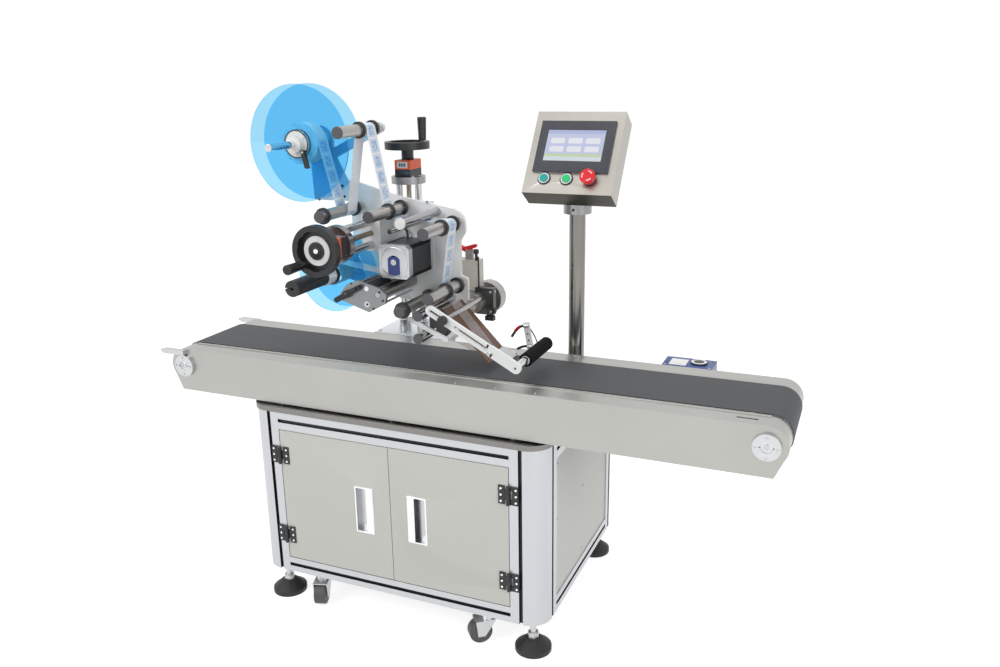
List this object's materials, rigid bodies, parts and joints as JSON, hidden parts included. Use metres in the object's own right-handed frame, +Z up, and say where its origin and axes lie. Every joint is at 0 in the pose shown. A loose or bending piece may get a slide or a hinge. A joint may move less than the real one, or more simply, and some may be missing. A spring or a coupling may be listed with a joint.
{
  "type": "flat surface labeling machine",
  "caption": "Free-standing labelling machine: belt conveyor over a steel cabinet, a label head with reels and rollers on a hand-cranked column, and a swivelling operator panel.",
  "frame": {"origin": "on the floor under the middle of the whole outline", "axes": "+X along the belt to the right as seen by the operator, +Y from the front to the back, +Z up"},
  "size_m": [1.7079, 0.814, 1.433],
  "materials": {
    "aluminium": "fine turned or clear anodised",
    "belt": "matt fabric-backed conveyor belt",
    "black_plastic": "satin black",
    "black_rubber": "ground rubber cover",
    "blue_disc": "clear blue acrylic sheet",
    "gear_blue": "gloss machine blue",
    "green_plastic": "gloss green",
    "machine_white": "smooth white powder coat",
    "module_grey": "plain grey cases on a zinc-plated plate",
    "motor_black": "satin black with a bare cast end bell",
    "panel_sheet": "smooth pale grey-green powder coat",
    "paper_web": "smooth release liner with blank labels",
    "peel_brown": "dark brown hard coat",
    "profile": "clear anodised extrusion",
    "red_plastic": "gloss red",
    "stainless": "brushed along the sheet",
    "steel": "ground and bright",
    "teal_plastic": "gloss teal"
  },
  "bodies": {
    "machine": {"cabinet_frame": "profile", "side_panels": "panel_sheet", "tabletop": "stainless", "front_beam": "stainless", "back_beam": "stainless", "slider_bed": "stainless", "conveyor_belt": "belt", "end_bearings": "aluminium", "conveyor_motor": "gear_blue", "column_base": "machine_white", "lift_guide": "steel", "panel_pole": "steel", "product_sensor": "aluminium", "control_gear": "module_grey", "levelling_feet": "black_plastic"},
    "drive_roller": {"drive_roller": "steel"},
    "idler_roller": {"idler_roller": "steel"},
    "lift": {"lift_carriage": "aluminium", "cross_guide": "steel"},
    "lift_wheel": {"lift_handwheel": "black_plastic"},
    "lift_wheel_grip": {"lift_grip": "black_plastic"},
    "cross_wheel": {"cross_handwheel": "black_plastic"},
    "cross_wheel_grip": {"cross_grip": "black_plastic"},
    "head": {"head_plate": "machine_white", "reel_bracket": "machine_white", "stepper_motor": "motor_black", "nip_frame": "steel", "drive_cover": "steel", "peel_plate": "peel_brown", "head_rods": "steel", "label_web": "paper_web"},
    "unwind": {"unwind_hub": "aluminium", "reel_discs": "blue_disc", "label_roll": "paper_web"},
    "hub_lever": {"hub_lever": "black_plastic"},
    "rewind": {"rewind_reel": "blue_disc"},
    "guide_roller_1": {"guide_roller_1": "aluminium"},
    "guide_roller_2": {"guide_roller_2": "aluminium"},
    "guide_roller_3": {"guide_roller_3": "aluminium"},
    "guide_roller_4": {"guide_roller_4": "aluminium"},
    "guide_roller_5": {"guide_roller_5": "aluminium"},
    "guide_roller_6": {"guide_roller_6": "aluminium"},
    "nip_drive_roller": {"nip_drive_roller": "steel"},
    "nip_pinch_roller": {"nip_pinch_roller": "black_rubber"},
    "nip_lever": {"nip_lever": "black_plastic"},
    "toggle_handle": {"toggle_handle": "red_plastic"},
    "press_arm": {"press_arm": "machine_white"},
    "press_roller": {"press_roller": "black_rubber"},
    "left_door": {"left_door": "panel_sheet"},
    "right_door": {"right_door": "panel_sheet"},
    "panel_box": {"panel_box": "stainless"},
    "reset_button": {"reset_button": "teal_plastic"},
    "start_button": {"start_button": "green_plastic"},
    "stop_button": {"stop_button": "red_plastic"},
    "caster_fork_left": {"caster_fork_left": "steel"},
    "caster_fork_right": {"caster_fork_right": "steel"},
    "caster_wheel_1": {"caster_wheel_1": "black_rubber"},
    "caster_wheel_2": {"caster_wheel_2": "black_rubber"},
    "caster_wheel_3": {"caster_wheel_3": "black_rubber"},
    "caster_wheel_4": {"caster_wheel_4": "black_rubber"}
  },
  "joints": [
    {"name": "drive_roller_spin", "type": "hinge", "parent": "machine", "child": "drive_roller", "pos_m": [0.804, -0.063, 0.673], "axis": [0, 1, 0], "continuous": true},
    {"name": "idler_roller_spin", "type": "hinge", "parent": "machine", "child": "idler_roller", "pos_m": [-0.778, -0.063, 0.673], "axis": [0, 1, 0], "continuous": true},
    {"name": "lift_wheel_turn", "type": "hinge", "parent": "machine", "child": "lift_wheel", "pos_m": [-0.241, 0.14, 1.262], "axis": [0, 0, 1], "range_deg": [-1350.01, 4500.01]},
    {"name": "lift_slide", "type": "slide", "parent": "machine", "child": "lift", "axis": [0, 0, 1], "range_m": [-0.015, 0.05]},
    {"name": "lift_grip_spin", "type": "hinge", "parent": "lift_wheel", "child": "lift_wheel_grip", "pos_m": [-0.193, 0.14, 1.262], "axis": [0, 0, 1], "continuous": true},
    {"name": "cross_wheel_turn", "type": "hinge", "parent": "lift", "child": "cross_wheel", "pos_m": [-0.241, -0.331, 1.053], "axis": [0, 1, 0], "range_deg": [-3150.01, 3150.01]},
    {"name": "cross_slide", "type": "slide", "parent": "lift", "child": "head", "axis": [0, 1, 0], "range_m": [-0.035, 0.035]},
    {"name": "cross_grip_spin", "type": "hinge", "parent": "cross_wheel", "child": "cross_wheel_grip", "pos_m": [-0.27553, -0.331, 1.01966], "axis": [0, 1, 0], "continuous": true},
    {"name": "unwind_spin", "type": "hinge", "parent": "head", "child": "unwind", "pos_m": [-0.429, -0.074, 1.282], "axis": [0, 1, 0], "continuous": true},
    {"name": "hub_lever_turn", "type": "hinge", "parent": "unwind", "child": "hub_lever", "pos_m": [-0.405, -0.1195, 1.262], "axis": [0, 1, 0], "range_deg": [-60, 60]},
    {"name": "rewind_spin", "type": "hinge", "parent": "head", "child": "rewind", "pos_m": [-0.353, -0.074, 0.941], "axis": [0, 1, 0], "continuous": true},
    {"name": "guide_roller_1_spin", "type": "hinge", "parent": "head", "child": "guide_roller_1", "pos_m": [-0.312, -0.074, 1.111], "axis": [0, 1, 0], "continuous": true},
    {"name": "guide_roller_2_spin", "type": "hinge", "parent": "head", "child": "guide_roller_2", "pos_m": [-0.243, -0.074, 1.319], "axis": [0, 1, 0], "continuous": true},
    {"name": "guide_roller_3_spin", "type": "hinge", "parent": "head", "child": "guide_roller_3", "pos_m": [-0.17, -0.074, 1.117], "axis": [0, 1, 0], "continuous": true},
    {"name": "guide_roller_4_spin", "type": "hinge", "parent": "head", "child": "guide_roller_4", "pos_m": [-0.021, -0.074, 1.083], "axis": [0, 1, 0], "continuous": true},
    {"name": "guide_roller_5_spin", "type": "hinge", "parent": "head", "child": "guide_roller_5", "pos_m": [-0.014, -0.074, 0.922], "axis": [0, 1, 0], "continuous": true},
    {"name": "guide_roller_6_spin", "type": "hinge", "parent": "head", "child": "guide_roller_6", "pos_m": [-0.096, -0.074, 0.884], "axis": [0, 1, 0], "continuous": true},
    {"name": "nip_drive_spin", "type": "hinge", "parent": "head", "child": "nip_drive_roller", "pos_m": [-0.161, -0.074, 0.92], "axis": [0, 1, 0], "continuous": true},
    {"name": "nip_pinch_spin", "type": "hinge", "parent": "head", "child": "nip_pinch_roller", "pos_m": [-0.192, -0.074, 0.934], "axis": [0, 1, 0], "continuous": true},
    {"name": "nip_lever_turn", "type": "hinge", "parent": "head", "child": "nip_lever", "pos_m": [-0.245, -0.204, 0.918], "axis": [0, 1, 0], "range_deg": [-25, 25]},
    {"name": "toggle_turn", "type": "hinge", "parent": "head", "child": "toggle_handle", "pos_m": [-0.015, 0.056, 0.991], "axis": [0, 1, 0], "range_deg": [-10, 60]},
    {"name": "press_arm_swing", "type": "hinge", "parent": "head", "child": "press_arm", "pos_m": [0.035, -0.074, 0.88], "axis": [0, 1, 0], "range_deg": [-30, 5]},
    {"name": "press_roller_spin", "type": "hinge", "parent": "press_arm", "child": "press_roller", "pos_m": [0.221, -0.074, 0.779], "axis": [0, 1, 0], "continuous": true},
    {"name": "left_door_swing", "type": "hinge", "parent": "machine", "child": "left_door", "pos_m": [-0.466, -0.2473, 0.335], "axis": [0, 0, 1], "range_deg": [-105, 0]},
    {"name": "right_door_swing", "type": "hinge", "parent": "machine", "child": "right_door", "pos_m": [0.208, -0.2473, 0.335], "axis": [0, 0, 1], "range_deg": [0, 105]},
    {"name": "panel_swivel", "type": "hinge", "parent": "machine", "child": "panel_box", "pos_m": [0.249, 0.157, 1.103], "axis": [0, 0, 1], "range_deg": [-90, 90]},
    {"name": "reset_press", "type": "slide", "parent": "panel_box", "child": "reset_button", "axis": [0, 0.829, -0.5592], "range_m": [0, 0.003], "stiffness_N_per_m": 600},
    {"name": "start_press", "type": "slide", "parent": "panel_box", "child": "start_button", "axis": [0, 0.829, -0.5592], "range_m": [0, 0.003], "stiffness_N_per_m": 600},
    {"name": "stop_press", "type": "slide", "parent": "panel_box", "child": "stop_button", "axis": [0, 0.829, -0.5592], "range_m": [0, 0.004], "stiffness_N_per_m": 1200},
    {"name": "caster_swivel_1", "type": "hinge", "parent": "machine", "child": "caster_fork_left", "pos_m": [-0.387, -0.202, 0.085], "axis": [0, 0, 1], "continuous": true},
    {"name": "caster_wheel_1_spin", "type": "hinge", "parent": "caster_fork_left", "child": "caster_wheel_1", "pos_m": [-0.37958, -0.22483, 0.0347], "axis": [0.9511, 0.309, 0], "continuous": true},
    {"name": "caster_swivel_2", "type": "hinge", "parent": "machine", "child": "caster_fork_right", "pos_m": [0.129, -0.202, 0.085], "axis": [0, 0, 1], "continuous": true},
    {"name": "caster_wheel_2_spin", "type": "hinge", "parent": "caster_fork_right", "child": "caster_wheel_2", "pos_m": [0.11061, -0.21743, 0.0347], "axis": [0.6428, -0.766, 0], "continuous": true},
    {"name": "caster_wheel_3_spin", "type": "hinge", "parent": "machine", "child": "caster_wheel_3", "pos_m": [-0.387, 0.376, 0.035], "axis": [-1, 0, 0], "continuous": true},
    {"name": "caster_wheel_4_spin", "type": "hinge", "parent": "machine", "child": "caster_wheel_4", "pos_m": [0.129, 0.376, 0.035], "axis": [-1, 0, 0], "continuous": true}
  ],
  "couplings": [
    {"joint": "idler_roller_spin", "follows": "drive_roller_spin", "ratio": 1},
    {"joint": "lift_wheel_turn", "follows": "lift_slide", "rad_per_m": 1570.8},
    {"joint": "cross_wheel_turn", "follows": "cross_slide", "rad_per_m": 1570.8},
    {"joint": "nip_pinch_spin", "follows": "nip_drive_spin", "ratio": -1.1464}
  ]
}
